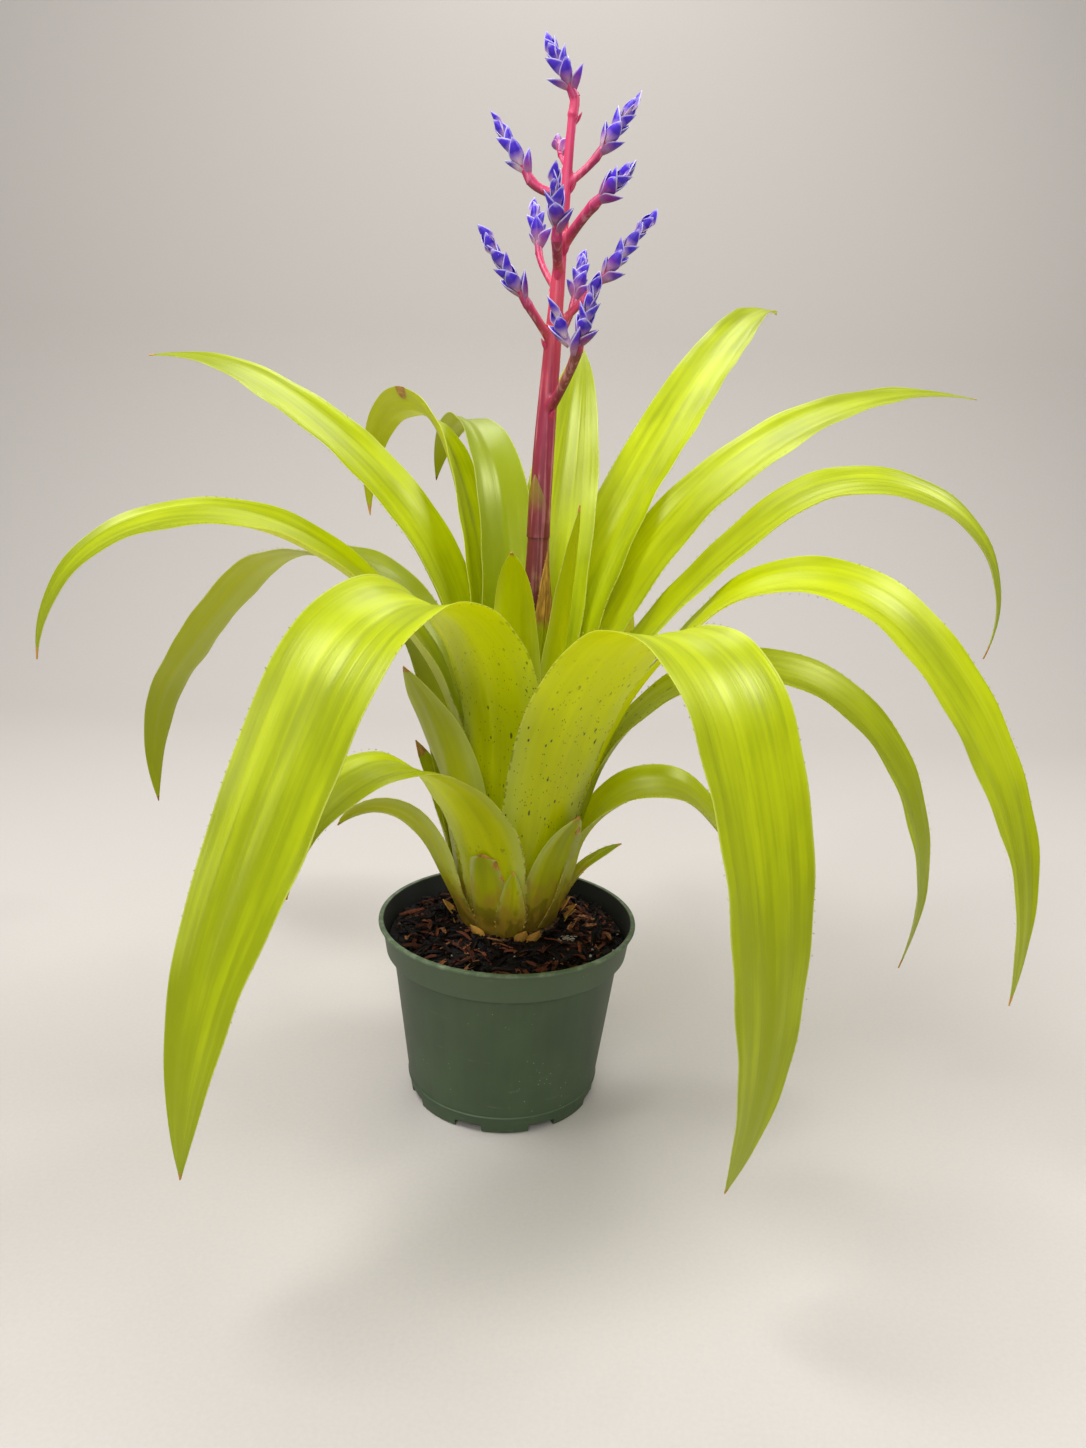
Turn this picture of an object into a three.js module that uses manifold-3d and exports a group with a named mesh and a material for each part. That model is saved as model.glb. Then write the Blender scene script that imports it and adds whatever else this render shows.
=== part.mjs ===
// A bromeliad in a plastic nursery pot: strap leaves in a tank rosette, a branched flower spike, bark mix.
// Units are millimetres, +Z is up, and the origin is the middle of the pot's underside.
// Directions round the plant are in degrees from +X towards +Y, so 270 points at the front.
import * as THREE from 'three';
import { mergeVertices } from 'three/addons/utils/BufferGeometryUtils.js';
import Module from 'manifold-3d';

const wasm = await Module();
wasm.setup();

// driving dimensions
const clearance = 0.3;                 // gap kept between pieces that touch

const pot = {
  sides: 36,
  baseRadius: 60.4,
  wallTopRadius: 72.8,                 // wall under the rim band
  bandBottom: 99,
  bandRadius: 77.4,
  lipRadius: 82.5,
  height: 119.7,
  wall: 1.6,
  floor: 2.4,
  ringHeight: 11.5,
  notches: 8,
  notchWidth: 18,
  notchHeight: 5,
  notchDepth: 6,
  firstNotch: 252,
};

const mound = { atWall: 109, atCrown: 118.5 };   // height of the bark mix
const chips = {
  rows: [{ radius: 43.5, count: 12 }, { radius: 54.5, count: 15 }, { radius: 67, count: 18 }],
  halfWidth: 4,
  seed: 7,
};

const crown = { radius: 34.2, footRadius: 22, top: 119.5, foot: 88, sides: 24 };

const blade = {
  thickness: 0.8,
  across: 4,                           // strips from edge to edge
  stride: 4,                           // step of the walk up the midrib
  rowLength: 70,                       // a new row starts after this length or bend, or parts of both
  rowBend: 26,
  seat: 0.5,                           // height of the leaf bases over the crown
  sheathTurn: 1.75,                    // base width for each millimetre of base radius
  tipWidth: 1.8,
  spineHeight: 1.5,
  spineLength: 2.6,
};

// The leaves, oldest and outermost first. ring: how far its base stands from the middle.
// facing: the side it stands on. turn: how far it swings round by the tip. length and width of the blade.
// fold: half-angle of its channel. roll: how far the blade leans over on its own midrib.
// rise: its angle above level at even steps from base to tip.
const leaves = {
  leaf_01: {
    ring: 30.7, facing: 210, turn: -23, length: 129, width: 37, fold: 24, roll: 38,
    rise: [70, 65, 66, 50, 4, -52],
  },
  leaf_02: {
    ring: 30.2, facing: 347, turn: 34, length: 250, width: 50, fold: 27, roll: 16,
    rise: [67, 80, 31, -45, -60, -69],
  },
  leaf_03: {
    ring: 30.5, facing: 92, turn: 0, length: 322, width: 44, fold: 24, roll: 0,
    rise: [68, 66, 45, 0, -45, -70],
  },
  leaf_04: {
    ring: 28.4, facing: 308, turn: 6, length: 94, width: 34, fold: 24, roll: -3,
    rise: [69, 72, 72, 70, 62, 54],
  },
  leaf_05: {
    ring: 29.9, facing: 260, turn: -47, length: 276, width: 48, fold: 17, roll: -4,
    rise: [69, 66, 48, 28, -36, -89],
  },
  leaf_06: {
    ring: 25.6, facing: 356, turn: 6, length: 476, width: 45, fold: 29, roll: 36,
    rise: [75, 74, 23, -38, -74, -107],
  },
  leaf_07: {
    ring: 30.5, facing: 154, turn: 0, length: 114, width: 28, fold: 26, roll: 0,
    rise: [76, 74, 72, 70, 64, 50],
  },
  leaf_08: {
    ring: 27.4, facing: 294, turn: 13, length: 561, width: 63, fold: 18, roll: -1,
    rise: [75, 70, 39, -63, -85, -110],
  },
  leaf_09: {
    ring: 27.2, facing: 74, turn: 0, length: 470, width: 48, fold: 24, roll: 0,
    rise: [71, 70, 40, -15, -55, -80],
  },
  leaf_10: {
    ring: 25.9, facing: 147, turn: -6, length: 622, width: 52, fold: 25, roll: 2,
    rise: [71, 83, 16, -39, -45, -101],
  },
  leaf_11: {
    ring: 22.1, facing: 253, turn: -26, length: 569, width: 60, fold: 26, roll: -20,
    rise: [82, 88, 30, -56, -64, -88],
  },
  leaf_12: {
    ring: 24.2, facing: 339, turn: 8, length: 579, width: 53, fold: 18, roll: 35,
    rise: [76, 72, 43, -43, -69, -96],
  },
  leaf_13: {
    ring: 23.4, facing: 178, turn: 26, length: 462, width: 48, fold: 31, roll: -19,
    rise: [79, 89, 54, 26, -22, -87],
  },
  leaf_14: {
    ring: 20.8, facing: 4, turn: -11, length: 503, width: 48, fold: 27, roll: 23,
    rise: [78, 78, 53, 39, -30, -110],
  },
  leaf_15: {
    ring: 14.8, facing: 136, turn: -19, length: 494, width: 36, fold: 34, roll: 42,
    rise: [84, 88, 80, 49, -13, -107],
  },
  leaf_16: {
    ring: 19.4, facing: 31, turn: -2, length: 556, width: 54, fold: 24, roll: 13,
    rise: [80, 80, 54, 33, 13, -5],
  },
  leaf_17: {
    ring: 20.8, facing: 169, turn: -9, length: 468, width: 52, fold: 24, roll: -16,
    rise: [85, 89, 75, 44, 28, -5],
  },
  leaf_18: {
    ring: 18.1, facing: 45, turn: 24, length: 624, width: 46, fold: 33, roll: 9,
    rise: [80, 83, 49, 38, 24, -3],
  },
  leaf_19: {
    ring: 13.1, facing: 106, turn: 10, length: 432, width: 40, fold: 31, roll: 6,
    rise: [86, 87, 88, 66, 10, -74],
  },
  leaf_20: {
    ring: 17.0, facing: 64, turn: 22, length: 396, width: 54, fold: 27, roll: 0,
    rise: [84, 85, 75, 69, 60, 34],
  },
  leaf_21: {
    ring: 12.2, facing: 268, turn: 0, length: 255, width: 36, fold: 36, roll: 0,
    rise: [81, 82, 87, 84, 70, 30],
  },
  leaf_22: {
    ring: 11, facing: 330, turn: 0, length: 264, width: 32, fold: 36, roll: 0,
    rise: [84, 84, 84, 84, 84, 84],
  },
  leaf_23: {
    ring: 9.8, facing: 303, turn: 0, length: 237, width: 18, fold: 40, roll: 0,
    rise: [84, 84, 85, 85, 86, 88],
  },
  leaf_24: {
    ring: 24.75, facing: 214, turn: 9, length: 182, width: 48, fold: 24, roll: 9,
    rise: [74, 77, 86, 74, 62, 52],
  },
};

// The small bracts at the foot of the rosette stand outside the leaves.
const clasp = { turn: 0, fold: 9, roll: 0, rise: [61, 64, 68, 70, 68, 62] };
const footBracts = {
  foot_bract_1: { ...clasp, ring: 32.6, facing: 274, length: 66, width: 12 },
  foot_bract_2: { ...clasp, ring: 31.6, facing: 259, length: 66, width: 18 },
  foot_bract_3: { ...clasp, ring: 31.1, facing: 8, length: 66, width: 18, rise: [70, 68, 58, 48, 30, 16] },
};

// The flower stem leans a little to the right. Each row is height, sideways place and radius.
const scapePath = [
  [crown.top + clearance, 1.5, 6.6],
  [250, 6, 6.9],
  [345, 10, 6.7],
  [412, 11.5, 6.3],
  [467, 14, 5.3],
  [500, 15.5, 4.2],
  [530, 17, 3.5],
  [565, 18.5, 3],
  [592, 20, 2.8],
];

// Each side branch leaves the stem at from, and its spikelet runs from base to tip.
const spikelets = {
  spikelet_01: { from: 586, base: [20, 0, 596], tip: [4, -1, 625], bracts: 7, stem: 2.7 },
  spikelet_02: { from: 546, base: [-2, 4, 555], tip: [-25, 10, 590], bracts: 7, stem: 2.2 },
  spikelet_03: { from: 552, base: [34, 0, 567], tip: [56, 0, 599], bracts: 8, stem: 1.9 },
  spikelet_04: { from: 520, base: [34, -14, 541], tip: [54, -25, 560], bracts: 7, stem: 2.2 },
  spikelet_05: { from: 507, base: [14, -17, 523], tip: [12, -35, 556], bracts: 8, stem: 2.4 },
  spikelet_06: { from: 498, base: [4, 20, 521], tip: [0, 36, 552], bracts: 8, stem: 2 },
  spikelet_07: { from: 470, base: [-1, -9, 490], tip: [-28, -18, 527], bracts: 9, stem: 2.2 },
  spikelet_08: { from: 478, base: [38, 12, 504], tip: [70, 22, 546], bracts: 9, stem: 2 },
  spikelet_09: { from: 466, base: [25, 21, 494], tip: [31, 40, 526], bracts: 8, stem: 2 },
  spikelet_10: { from: 432, base: [28, -28, 466], tip: [37, -46, 503], bracts: 9, stem: 2.6 },
  spikelet_11: { from: 560, base: [14, 13, 570], tip: [10, 36, 586], bracts: 6, stem: 1.5 },
};

const bract = { length: 15, width: 8.6, depth: 4.6, lean: 27, twist: 186 };

// colours and surface values
const finishes = {
  pot: { color: 0x4b5f3d, roughness: 0.55 },
  soil: { color: 0x33211a, roughness: 0.95 },
  crown: { color: 0xb59a5a, roughness: 0.8 },
  leaf: { color: 0xb9cf1d, roughness: 0.4 },
  stem: { color: 0xc83d63, roughness: 0.5 },
  flower: { color: 0x5a45d6, roughness: 0.5 },
};

const degrees = THREE.MathUtils.degToRad;
const ease = (x) => THREE.MathUtils.smoothstep(x, 0, 1);
const flat = (facing) => new THREE.Vector3(Math.cos(facing), Math.sin(facing), 0);

// Turn a closed geometry into a solid that can be joined and cut.
function solidOf(geometry) {
  const plain = geometry.clone();
  for (const name of ['normal', 'uv']) plain.deleteAttribute(name);
  const merged = mergeVertices(plain, 1e-4);
  const triVerts = Uint32Array.from(merged.index.array);
  const mesh = new wasm.Mesh({ numProp: 3, vertProperties: merged.attributes.position.array, triVerts });
  mesh.merge();
  return new wasm.Manifold(mesh);
}

function geometryOf(solid) {
  const mesh = solid.getMesh();
  const geometry = new THREE.BufferGeometry();
  geometry.setAttribute('position', new THREE.BufferAttribute(mesh.vertProperties, 3));
  geometry.setIndex(new THREE.BufferAttribute(mesh.triVerts, 1));
  return geometry;
}

function joined(geometries) {
  return geometryOf(wasm.Manifold.union(geometries.map(solidOf)));
}

// Repeatable random numbers from 0 to 1.
function randomFrom(seed) {
  let state = seed;
  return () => {
    state = (state * 16807) % 2147483647;
    return state / 2147483647;
  };
}

// A closed solid of revolution about Z. The outline runs from the axis back to the axis.
function turned(outline, sides) {
  const points = outline.map(([radius, height]) => new THREE.Vector2(radius, height));
  return new THREE.LatheGeometry(points, sides).rotateX(Math.PI / 2);
}

// A round bar along a curve, with its radius given at each point of the curve from 0 to 1.
function taperedBar(curve, radiusAt, sides, rows) {
  const geometry = new THREE.CylinderGeometry(1, 1, 1, sides, rows);
  const place = geometry.attributes.position;
  const across = new THREE.Vector3(0, 1, 0);
  for (let i = 0; i < place.count; i += 1) {
    const u = place.getY(i) + 0.5;
    const along = curve.getTangent(u);
    const side = new THREE.Vector3().crossVectors(across, along).normalize();
    const front = new THREE.Vector3().crossVectors(along, side);
    const radius = radiusAt(u);
    const point = curve.getPoint(u)
      .addScaledVector(side, place.getX(i) * radius)
      .addScaledVector(front, -place.getZ(i) * radius);
    place.setXYZ(i, point.x, point.y, point.z);
  }
  return geometry;
}

function potGeometry() {
  const { baseRadius, wallTopRadius, bandBottom, bandRadius, lipRadius } = pot;
  const { height, wall, floor, ringHeight } = pot;
  const slope = (wallTopRadius - baseRadius) / bandBottom;
  const ringRadius = baseRadius + slope * ringHeight;
  const outline = [
    [0, 0],
    [baseRadius, 0],
    [ringRadius, ringHeight - 0.8],
    [ringRadius + 0.7, ringHeight - 0.3],
    [ringRadius + 0.7, ringHeight + 0.3],
    [ringRadius + 0.2, ringHeight + 0.9],
    [wallTopRadius, bandBottom - 1],
    [bandRadius - 0.6, bandBottom],
    [bandRadius, bandBottom + 1],
    [lipRadius - 2.6, height - 2.8],
    [lipRadius, height - 2],
    [lipRadius - 0.8, height],
    [lipRadius - 3.4, height],
    [bandRadius - wall, bandBottom + 2.6],
    [wallTopRadius - wall, bandBottom + 0.4],
    [baseRadius - wall, floor],
    [0, floor],
  ];
  const cutter = new THREE.BoxGeometry(pot.notchDepth * 2, pot.notchWidth, pot.notchHeight * 2);
  let solid = solidOf(turned(outline, pot.sides));
  for (let i = 0; i < pot.notches; i += 1) {
    const around = degrees(pot.firstNotch + (i * 360) / pot.notches);
    const notch = cutter.clone().translate(baseRadius, 0, 0).rotateZ(around);
    solid = solid.subtract(solidOf(notch));
  }
  return geometryOf(solid);
}

// The mix is heaped up a little round the rosette.
const moundWidth = pot.bandRadius - pot.wall - crown.radius;
const moundSlope = Math.atan2(mound.atCrown - mound.atWall, moundWidth);
const moundHeight = (radius) => mound.atCrown - (radius - crown.radius) * Math.tan(moundSlope);

// Angular pieces of bark lie half sunk in the mix, in rows round the rosette, each turned a little.
function barkChips() {
  const random = randomFrom(chips.seed);
  const spread = (amount) => (random() - 0.5) * amount;
  return chips.rows.flatMap(({ radius, count }) => Array.from({ length: count }, (_, i) => {
    const length = (2 * Math.PI * radius) / count - 2 + spread(5);
    return new THREE.CylinderGeometry(1, 1, length, random() < 0.7 ? 3 : 4)
      .scale(chips.halfWidth + spread(1.6), 1, 1.9)
      .rotateX(spread(0.16))
      .rotateY(spread(0.5))
      .rotateZ(spread(0.9))
      .rotateY(moundSlope)
      .translate(radius, 0, moundHeight(radius) + 0.2 + spread(0.8))
      .rotateZ((2 * Math.PI * (i + spread(0.3))) / count);
  }));
}

function soilGeometry() {
  const inner = pot.wall + clearance;
  const room = crown.radius + clearance;
  const outline = [
    [0, pot.floor + clearance],
    [pot.baseRadius - inner, pot.floor + clearance],
    [pot.wallTopRadius - inner, pot.bandBottom + 0.4],
    [pot.bandRadius - inner - 0.3, pot.bandBottom + 2.9],
    [pot.bandRadius - inner + 0.6, mound.atWall],
    [room, mound.atCrown],
    [room, mound.atCrown - 3.2],
    [crown.footRadius + clearance, crown.foot - clearance],
    [0, crown.foot - clearance],
  ];
  return joined([turned(outline, crown.sides), ...barkChips()]);
}

// The short stem that the leaves grow from, sunk in the bark mix.
function crownGeometry() {
  const outline = [
    [0, crown.foot],
    [crown.footRadius, crown.foot],
    [crown.radius, mound.atCrown - 3],
    [crown.radius, crown.top - 1],
    [crown.radius - 1, crown.top],
    [0, crown.top],
  ];
  return turned(outline, crown.sides);
}

// Angle above level at the fraction s of a leaf's length.
function riseAt(rise, s) {
  const place = s * (rise.length - 1);
  const step = Math.min(Math.floor(place), rise.length - 2);
  return degrees(THREE.MathUtils.lerp(rise[step], rise[step + 1], place - step));
}

// Walk up the midrib in short strides, and keep a row wherever enough length and bend has gone by.
function midrib(leaf) {
  const strides = Math.ceil(leaf.length / blade.stride);
  const share = (i) => i / strides;
  const courseAt = (s) => {
    const climb = riseAt(leaf.rise, s);
    return flat(degrees(leaf.facing + leaf.turn * s)).multiplyScalar(Math.cos(climb)).setZ(Math.sin(climb));
  };
  const spent = [0];
  for (let i = 0; i < strides; i += 1) {
    const bend = courseAt(share(i)).angleTo(courseAt(share(i + 1)));
    spent.push(spent[i] + leaf.length / strides / blade.rowLength + bend / degrees(blade.rowBend));
  }
  const rows = Math.max(4, Math.round(spent[strides]));
  const point = flat(degrees(leaf.facing)).multiplyScalar(leaf.ring).setZ(crown.top + blade.seat);
  const path = [];
  for (let i = 0; i <= strides; i += 1) {
    const due = (path.length * spent[strides]) / rows;
    if (spent[i] >= due - 1e-6) {
      const facing = degrees(leaf.facing + leaf.turn * share(i));
      path.push({ s: share(i), facing, along: courseAt(share(i)), point: point.clone() });
    }
    point.addScaledVector(courseAt(share(i + 0.5)), leaf.length / strides);
  }
  return path;
}

// Width of the blade: a narrower sheath, even sides, and a long point.
function widthAt(leaf, s) {
  const sheath = Math.min(0.8 * leaf.width, blade.sheathTurn * leaf.ring);
  const side = sheath + (leaf.width - sheath) * ease(s / 0.35);
  return Math.max(side * (1 - s ** 5) ** 0.9, blade.tipWidth);
}

// One cross-section: an arc that curls round the plant at the base and opens to the blade's channel.
function crossSection(leaf, station) {
  const { s, facing, along, point } = station;
  const roll = degrees(leaf.roll) * ease((s - 0.2) / 0.6);
  const side = new THREE.Vector3(-Math.sin(facing), Math.cos(facing), 0);
  const up = new THREE.Vector3().crossVectors(along, side);
  const across = side.clone().multiplyScalar(Math.cos(roll)).addScaledVector(up, Math.sin(roll));
  const inward = new THREE.Vector3().crossVectors(along, across);
  const bend = Math.min(Math.hypot(point.x, point.y), leaf.width / 2 / degrees(leaf.fold));
  const half = widthAt(leaf, s) / 2 / bend;
  const centre = point.clone().addScaledVector(inward, bend);
  const faces = [[], []];
  for (let j = 0; j <= blade.across; j += 1) {
    const angle = half * ((2 * j) / blade.across - 1);
    const outward = across.clone().multiplyScalar(Math.sin(angle)).addScaledVector(inward, -Math.cos(angle));
    faces[0].push(centre.clone().addScaledVector(outward, bend - blade.thickness / 2));
    faces[1].push(centre.clone().addScaledVector(outward, bend + blade.thickness / 2));
  }
  return { faces, across, along };
}

// Triangles from one corner to each side of a rim, turned over when flip is set.
function fan(triangles, flip, corner, rim) {
  for (let i = 0; i < rim.length - 1; i += 1) {
    if (flip) triangles.push(corner, rim[i + 1], rim[i]);
    else triangles.push(corner, rim[i], rim[i + 1]);
  }
}

// A leaf as a closed thin solid: two faces, two spined edges and two cut ends.
function leafGeometry(leaf) {
  const sections = midrib(leaf).map((station) => crossSection(leaf, station));
  const last = blade.across;
  const rows = sections.length - 1;
  const points = sections.flatMap(({ faces }) => [...faces[0], ...faces[1]]);
  const triangles = [];
  const at = (face, row, j) => (row * 2 + face) * (last + 1) + j;

  // one edge of one row, which gives back the extra points on the two faces where a spine ends
  const edge = (row, j) => {
    const [inner, outer] = [at(0, row, j), at(1, row, j)];
    const [innerNext, outerNext] = [at(0, row + 1, j), at(1, row + 1, j)];
    const run = points[inner].distanceTo(points[innerNext]);
    if (row === 0 || run < 3 * blade.spineLength) {
      fan(triangles, j > 0, inner, [outer, outerNext, innerNext]);
      return [[], []];
    }
    const innerMid = points.push(points[inner].clone().lerp(points[innerNext], blade.spineLength / run)) - 1;
    const outerMid = points.push(points[outer].clone().lerp(points[outerNext], blade.spineLength / run)) - 1;
    const apex = points.push(points[innerMid].clone().lerp(points[outerMid], 0.5)
      .addScaledVector(sections[row].across, (j > 0 ? 1 : -1) * blade.spineHeight)) - 1;
    fan(triangles, j > 0, apex, [inner, outer, outerMid, innerMid, inner]);
    fan(triangles, j > 0, innerMid, [outerMid, outerNext, innerNext]);
    return [[innerMid], [outerMid]];
  };

  for (let row = 0; row < rows; row += 1) {
    const [leftExtra, rightExtra] = [edge(row, 0), edge(row, last)];
    for (const face of [0, 1]) {
      for (let j = 0; j < last; j += 1) {
        const [a, b] = [at(face, row, j), at(face, row, j + 1)];
        const [c, d] = [at(face, row + 1, j + 1), at(face, row + 1, j)];
        if (j < last / 2) fan(triangles, face === 0, c, [d, ...(j === 0 ? leftExtra[face] : []), a, b]);
        else fan(triangles, face === 0, d, [a, b, ...(j === last - 1 ? rightExtra[face] : []), c]);
      }
    }
  }
  for (let j = 0; j < last; j += 1) {
    fan(triangles, false, at(0, 0, j), [at(0, 0, j + 1), at(1, 0, j + 1), at(1, 0, j)]);
    fan(triangles, true, at(0, rows, j), [at(0, rows, j + 1), at(1, rows, j + 1), at(1, rows, j)]);
  }
  const geometry = new THREE.BufferGeometry().setFromPoints(points);
  geometry.setIndex(triangles);
  return geometry;
}

const scapeCurve = new THREE.CatmullRomCurve3(
  scapePath.map(([height, place]) => new THREE.Vector3(place, 0, height)),
);

// Middle of the flower stem at a height, between the two rows of its path on either side.
function scapeAt(height) {
  const next = Math.max(1, scapePath.findIndex(([top]) => top >= height));
  const [low, high] = [scapePath[next - 1], scapePath[next]];
  const part = (height - low[0]) / (high[0] - low[0]);
  return new THREE.Vector3(THREE.MathUtils.lerp(low[1], high[1], part), 0, height);
}

function scapeRadius(u) {
  const place = u * (scapePath.length - 1);
  const step = Math.min(Math.floor(place), scapePath.length - 2);
  return THREE.MathUtils.lerp(scapePath[step][2], scapePath[step + 1][2], place - step);
}

// A pointed scale: an eight-sided kite, widest near its root, laid along a direction.
function scale(root, along, outward, length, width, depth) {
  const geometry = new THREE.OctahedronGeometry(1);
  const side = new THREE.Vector3().crossVectors(along, outward).normalize();
  const face = new THREE.Vector3().crossVectors(side, along).normalize();
  const place = geometry.attributes.position;
  for (let i = 0; i < place.count; i += 1) {
    const reach = place.getY(i) === 0 ? 0.4 : (place.getY(i) + 1) / 2;
    const point = root.clone()
      .addScaledVector(along, reach * length)
      .addScaledVector(side, (place.getX(i) * width) / 2)
      .addScaledVector(face, (place.getZ(i) * depth) / 2);
    place.setXYZ(i, point.x, point.y, point.z);
  }
  return geometry;
}

// The side branch of a spikelet leaves the main stem and bows round into the spikelet's own direction.
function branchCurve({ from, base, tip }) {
  const start = scapeAt(from);
  const end = new THREE.Vector3(...base);
  const along = new THREE.Vector3(...tip).sub(end).normalize();
  const bow = end.clone().addScaledVector(along, -0.45 * start.distanceTo(end));
  return new THREE.QuadraticBezierCurve3(start, bow, end);
}

function scapeGeometry() {
  const pieces = [taperedBar(scapeCurve, scapeRadius, 8, 10)];
  for (const spikelet of Object.values(spikelets)) {
    const curve = branchCurve(spikelet);
    pieces.push(taperedBar(curve, () => spikelet.stem, 5, 2));
    const outward = curve.getTangent(0.4).setZ(0).normalize();
    const root = scapeAt(spikelet.from - 5);
    const course = new THREE.Vector3(0, 0, 1).addScaledVector(outward, 0.75).normalize();
    pieces.push(scale(root, course, outward, 19, 6, 4));
  }
  for (const [height, facing] of [[362, 235], [330, 60]]) {
    const outward = flat(degrees(facing));
    const root = scapeAt(height).addScaledVector(outward, 4);
    const course = new THREE.Vector3(0, 0, 1).addScaledVector(outward, 0.1).normalize();
    pieces.push(scale(root, course, outward, 55, 13, 7));
  }
  return joined(pieces);
}

// Blue bracts overlap in two ranks that wind slowly round a slim core.
function spikeletGeometry({ base, tip, bracts }) {
  const start = new THREE.Vector3(...base);
  const end = new THREE.Vector3(...tip);
  const along = end.clone().sub(start).normalize();
  start.addScaledVector(along, clearance);
  const side = new THREE.Vector3(along.z, 0, -along.x).normalize();
  const front = new THREE.Vector3().crossVectors(along, side);
  const run = start.distanceTo(end) - bract.length;
  const core = new THREE.LineCurve3(start, start.clone().addScaledVector(along, run + 4));
  const pieces = [taperedBar(core, (u) => 2 - u, 6, 1)];
  for (let i = 0; i < bracts; i += 1) {
    const share = i / (bracts - 1);
    const around = degrees(bract.twist * i);
    const outward = side.clone().multiplyScalar(Math.cos(around)).addScaledVector(front, Math.sin(around));
    const lean = degrees(bract.lean * (1 - share));
    const course = along.clone().multiplyScalar(Math.cos(lean)).addScaledVector(outward, Math.sin(lean));
    const root = start.clone().addScaledVector(along, 0.8 + run * share)
      .addScaledVector(outward, 0.6 * (1 - share));
    const size = 1 - 0.2 * share;
    pieces.push(scale(root, course, outward, bract.length * size, bract.width * size, bract.depth * size));
  }
  return joined(pieces);
}

function piece(name, geometry, finish) {
  const mesh = new THREE.Mesh(geometry, new THREE.MeshStandardMaterial({ ...finish, metalness: 0 }));
  mesh.name = name;
  return mesh;
}

const plant = new THREE.Group();
plant.add(piece('pot', potGeometry(), finishes.pot));
plant.add(piece('bark_mix', soilGeometry(), finishes.soil));
plant.add(piece('crown', crownGeometry(), finishes.crown));
for (const [name, leaf] of Object.entries({ ...leaves, ...footBracts })) {
  plant.add(piece(name, leafGeometry(leaf), finishes.leaf));
}
plant.add(piece('flower_stem', scapeGeometry(), finishes.stem));
for (const [name, settings] of Object.entries(spikelets)) {
  plant.add(piece(name, spikeletGeometry(settings), finishes.flower));
}

export default plant;
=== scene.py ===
import math
import random

import bpy
from mathutils import Matrix, Vector


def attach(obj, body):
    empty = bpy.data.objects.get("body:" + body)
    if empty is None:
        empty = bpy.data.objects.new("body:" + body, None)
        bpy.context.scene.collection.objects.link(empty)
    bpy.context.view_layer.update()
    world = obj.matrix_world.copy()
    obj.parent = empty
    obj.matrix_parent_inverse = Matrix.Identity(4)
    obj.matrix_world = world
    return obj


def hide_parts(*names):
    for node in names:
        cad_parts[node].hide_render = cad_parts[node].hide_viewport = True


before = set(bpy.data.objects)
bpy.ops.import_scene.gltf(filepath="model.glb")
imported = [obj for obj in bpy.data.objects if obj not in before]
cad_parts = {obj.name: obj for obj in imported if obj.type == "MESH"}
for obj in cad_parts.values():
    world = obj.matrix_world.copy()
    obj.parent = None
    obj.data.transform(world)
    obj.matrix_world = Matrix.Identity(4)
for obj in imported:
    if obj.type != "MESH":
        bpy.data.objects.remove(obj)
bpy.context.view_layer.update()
mm = 0.001
print("frame loaded:", len(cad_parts), "CAD nodes")


# camera, floor and light

cameraView = {
    "place": (17.7, -648.0, 420.0),  # millimetres from the middle of the pot's underside
    "pitch": 14.85,  # looking down, in degrees
    "roll": 2.42,  # the photograph leans a little
    "frame": 36,  # the picture's long side, in millimetres
    "lens": 36 * 1088 / 1448,  # 1088 of the 1448 pixels of that side
}


def addCamera(view):
    pitch, roll = math.radians(view["pitch"]), math.radians(view["roll"])
    forward = Vector((0, math.cos(pitch), -math.sin(pitch)))
    level = Vector((0, math.sin(pitch), math.cos(pitch)))
    right = Vector((1, 0, 0)) * math.cos(roll) + level * math.sin(roll)
    up = level * math.cos(roll) - Vector((1, 0, 0)) * math.sin(roll)
    turn = Matrix((right, up, -forward)).transposed()
    bpy.ops.object.camera_add(location=Vector(view["place"]) * mm, rotation=turn.to_euler())
    camera = bpy.context.active_object
    camera.name = "camera"
    camera.data.lens = view["lens"]
    camera.data.sensor_width = view["frame"]
    camera.data.clip_start, camera.data.clip_end = 0.01, 20
    bpy.context.scene.camera = camera


def srgb(text):  # a hex colour as the linear values that the shader wants
    parts = [int(text[i:i + 2], 16) / 255 for i in (0, 2, 4)]
    return tuple(c / 12.92 if c <= 0.04045 else ((c + 0.055) / 1.055) ** 2.4 for c in parts)


def table(columns, rows):  # each row as a dictionary with the columns' names
    return {name: dict(zip(columns.split(), row)) for name, row in rows.items()}


def colours(finish):  # the colours of a finish, by name
    return {name: srgb(value) for name, value in finish.items() if isinstance(value, str)}


class Wire:  # a shader socket that can be used in sums
    def __init__(self, paint, socket):
        self.paint, self.socket = paint, socket

    def math(self, kind, first, second):
        return self.paint.node("ShaderNodeMath", {"operation": kind}, {0: first, 1: second})

    def __add__(self, other):
        return self.math("ADD", self, other)

    def __sub__(self, other):
        return self.math("SUBTRACT", self, other)

    def __rsub__(self, other):
        return self.math("SUBTRACT", other, self)

    def __mul__(self, other):
        return self.math("MULTIPLY", self, other)

    __radd__, __rmul__ = __add__, __mul__


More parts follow.
